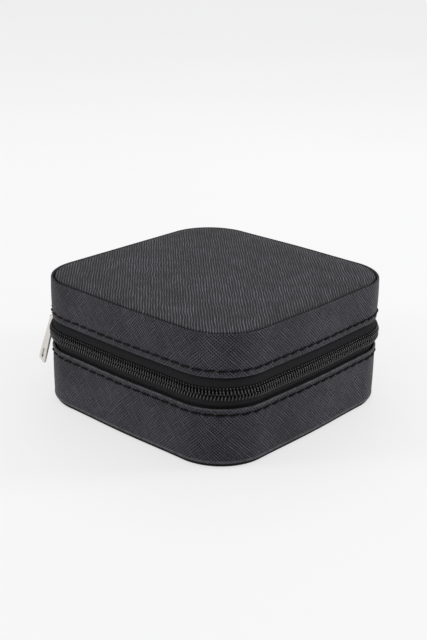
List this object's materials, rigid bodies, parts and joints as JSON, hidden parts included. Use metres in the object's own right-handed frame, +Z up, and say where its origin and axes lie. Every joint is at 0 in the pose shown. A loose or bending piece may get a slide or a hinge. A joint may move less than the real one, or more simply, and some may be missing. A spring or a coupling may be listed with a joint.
{
  "type": "jewellery case",
  "caption": "Square rounded leather-covered jewellery case with a zip round three sides, a folding spine, ring rolls, dividers, snap straps and a lid pocket.",
  "frame": {"origin": "middle of the underside, on the surface that the closed case stands on", "axes": "+Z up, +Y towards the spine at the back, -Y towards the front that opens, +X to the right seen from the front"},
  "size_m": [0.1024, 0.1129, 0.05],
  "materials": {
    "case_leather": "charcoal saffiano-embossed, satin",
    "board": "stiff grey board",
    "velvet": "black velvet",
    "foam": "soft sheet foam",
    "zip_tape": "woven black tape",
    "zip_coil": "black nylon coil",
    "thread": "black polyester thread",
    "zip_metal": "pale satin plated zinc",
    "snap_metal": "satin plated"
  },
  "bodies": {
    "base": {"base_bottom_leather": "case_leather", "base_side_leather": "case_leather", "base_floor_board": "board", "base_wall_board": "board", "base_floor_lining": "velvet", "base_wall_lining": "velvet", "base_stitching": "thread", "ring_partition": "velvet", "ring_roll_1": "velvet", "ring_roll_2": "velvet", "ring_roll_3": "velvet", "ring_roll_4": "velvet", "ring_roll_5": "velvet", "ring_roll_6": "velvet", "zip_tape_lower": "zip_tape", "zip_coil_lower": "zip_coil", "zip_end_tab_left": "zip_tape", "zip_end_tab_right": "zip_tape", "zip_top_stop": "zip_metal", "zip_bottom_stop": "zip_metal"},
    "spine": {"spine_leather": "case_leather", "spine_lining": "velvet"},
    "lid": {"lid_top_leather": "case_leather", "lid_side_leather": "case_leather", "lid_top_foam": "foam", "lid_top_board": "board", "lid_wall_board": "board", "lid_panel_lining": "velvet", "lid_wall_lining": "velvet", "lid_stitching": "thread", "zip_tape_upper": "zip_tape", "zip_coil_upper": "zip_coil", "hook_strip": "case_leather", "snap_stud_1": "snap_metal", "snap_stud_2": "snap_metal", "snap_stud_3": "snap_metal", "pocket_cloth": "velvet", "pocket_elastic": "zip_tape"},
    "slider": {"slider_body": "zip_metal", "slider_bail": "zip_metal"},
    "pull": {"zip_pull": "zip_metal"},
    "divider_long": {"divider_long": "velvet"},
    "divider_short": {"divider_short": "velvet"},
    "hook_strap_1": {"hook_strap_1": "case_leather", "snap_cap_1": "snap_metal"},
    "hook_strap_2": {"hook_strap_2": "case_leather", "snap_cap_2": "snap_metal"},
    "hook_strap_3": {"hook_strap_3": "case_leather", "snap_cap_3": "snap_metal"}
  },
  "joints": [
    {"name": "spine_fold", "type": "hinge", "parent": "base", "child": "spine", "pos_m": [0, 0.0503, 0.0223], "axis": [-1, 0, 0], "range_deg": [0, 122]},
    {"name": "lid_fold", "type": "hinge", "parent": "spine", "child": "lid", "pos_m": [0, 0.0503, 0.0342], "axis": [-1, 0, 0], "range_deg": [0, 58]},
    {"name": "slider_travel", "type": "hinge", "parent": "base", "child": "slider", "pos_m": [-0.03, 0.03, 0.02825], "axis": [0, 0, 1], "range_deg": [0, 72], "deforming": ["zip_coil_lower", "zip_coil_upper"]},
    {"name": "pull_swing", "type": "hinge", "parent": "slider", "child": "pull", "pos_m": [-0.03606, 0.05343, 0.02825], "axis": [0.9681, 0.2504, 0], "range_deg": [0, 150]},
    {"name": "divider_long_lift", "type": "slide", "parent": "base", "child": "divider_long", "axis": [0, 0, 1], "range_m": [0, 0.018]},
    {"name": "divider_short_lift", "type": "slide", "parent": "base", "child": "divider_short", "axis": [0, 0, 1], "range_m": [0, 0.018]},
    {"name": "hook_strap_1_fold", "type": "hinge", "parent": "lid", "child": "hook_strap_1", "pos_m": [-0.02, -0.03665, 0.0424], "axis": [-1, 0, 0], "range_deg": [0, 90]},
    {"name": "hook_strap_2_fold", "type": "hinge", "parent": "lid", "child": "hook_strap_2", "pos_m": [0, -0.03665, 0.0424], "axis": [-1, 0, 0], "range_deg": [0, 90]},
    {"name": "hook_strap_3_fold", "type": "hinge", "parent": "lid", "child": "hook_strap_3", "pos_m": [0.02, -0.03665, 0.0424], "axis": [-1, 0, 0], "range_deg": [0, 90]}
  ],
  "couplings": [
    {"joint": "lid_fold", "follows": "spine_fold", "ratio": 0.475}
  ]
}
